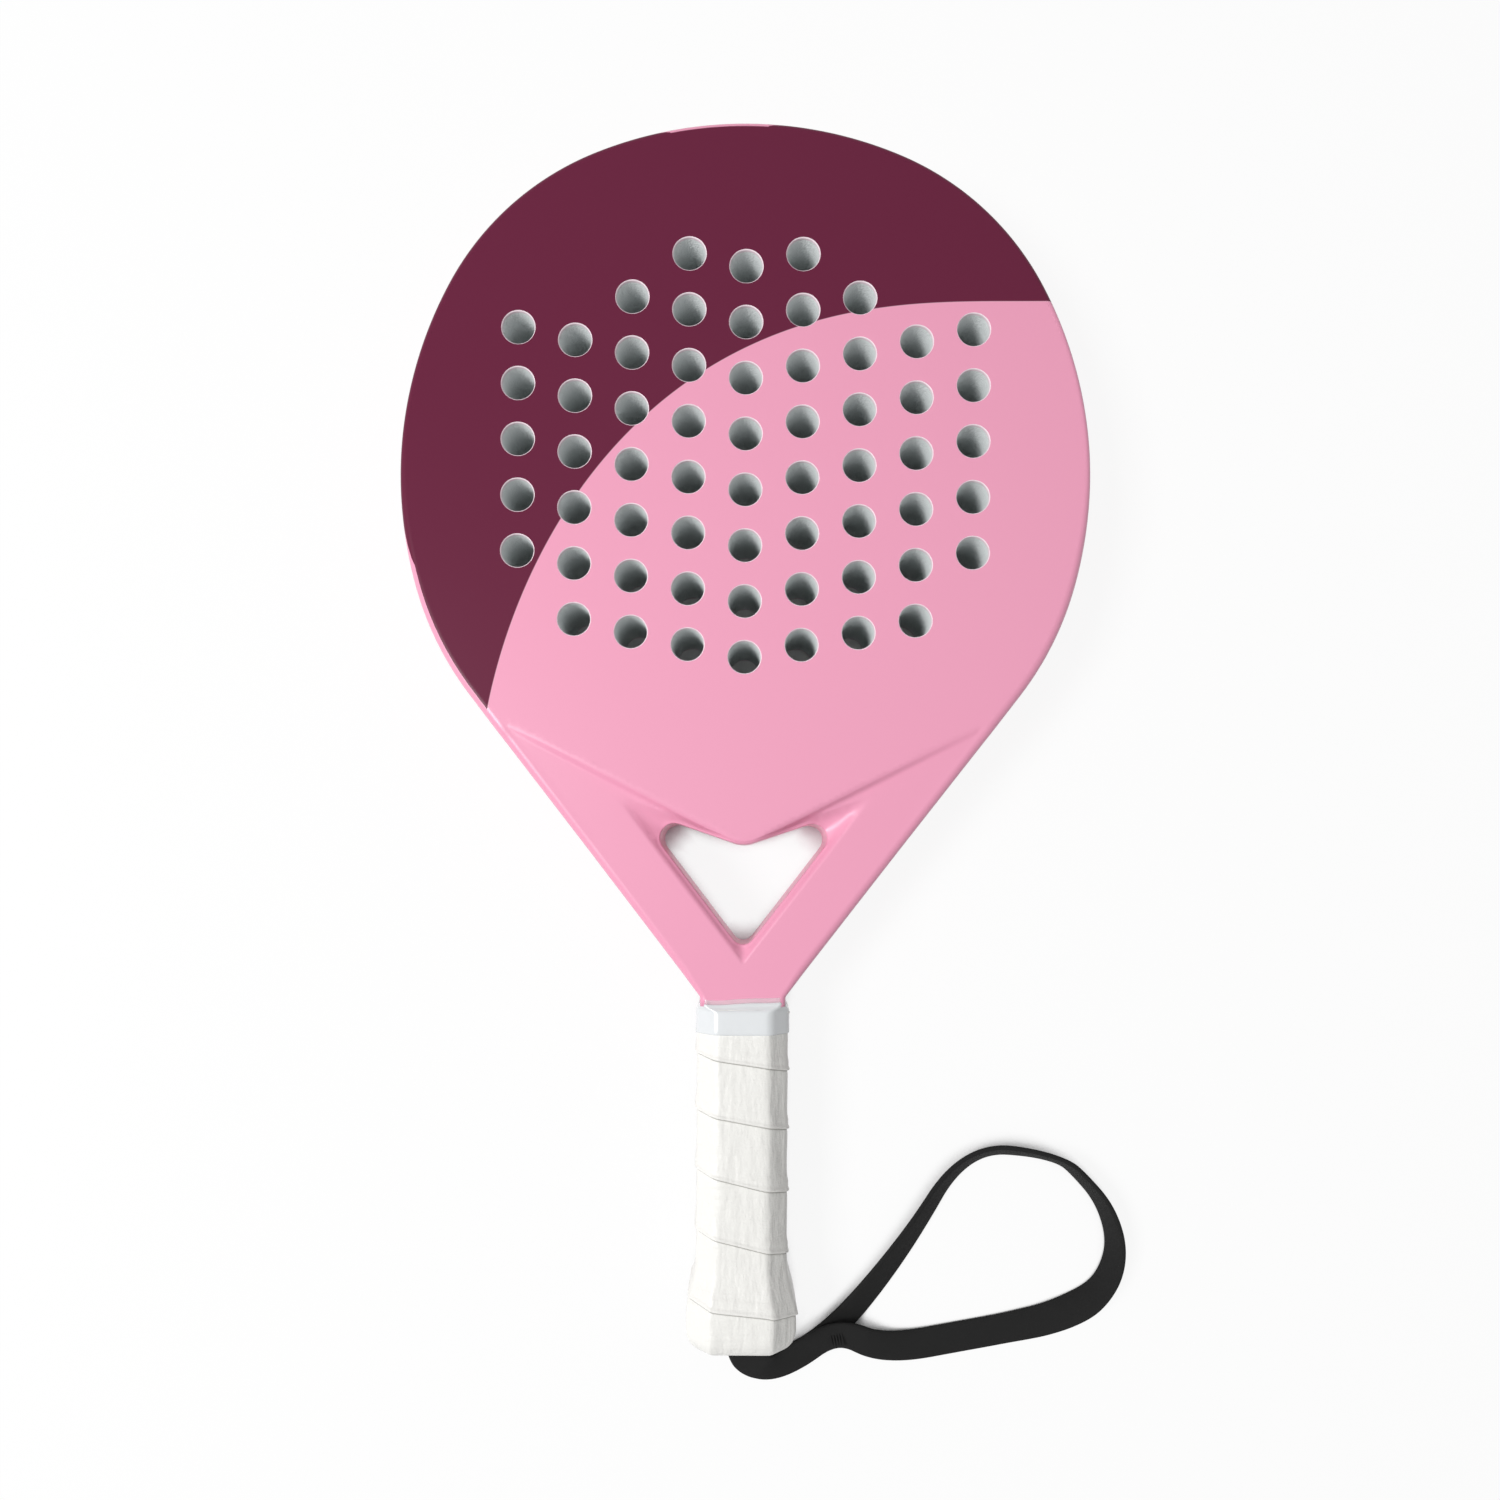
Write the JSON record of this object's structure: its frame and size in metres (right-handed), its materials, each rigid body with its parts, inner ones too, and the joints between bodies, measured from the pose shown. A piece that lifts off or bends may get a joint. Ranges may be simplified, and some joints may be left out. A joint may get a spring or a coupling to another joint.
{
  "type": "padel racket",
  "caption": "Padel racket with a drilled solid head, open throat, wrapped handle and a looped wrist strap.",
  "frame": {"origin": "on the surface that the racket lies on, at mid-length on the symmetry plane", "axes": "+Y from the handle to the head, +Z out of the front face, X across the racket"},
  "size_m": [0.2793, 0.4722, 0.038],
  "materials": {
    "paint_pink": "satin",
    "foam": "matte",
    "handle_foam": "matte",
    "cap_plastic": "matte",
    "grip_white": "matte",
    "tape_white": "gloss",
    "webbing": "matte"
  },
  "bodies": {
    "root": {"frame_tube": "paint_pink", "leg_plugs": "handle_foam", "throat_yoke": "paint_pink", "foam_core": "foam", "front_face": "paint_pink", "back_face": "paint_pink", "front_pallet": "handle_foam", "back_pallet": "handle_foam", "butt_cap": "cap_plastic", "cushion_grip": "grip_white", "overgrip_wrap": "grip_white", "finishing_tape": "tape_white", "wrist_strap": "webbing", "strap_knot": "webbing", "strap_stitching": "webbing"}
  },
  "joints": []
}
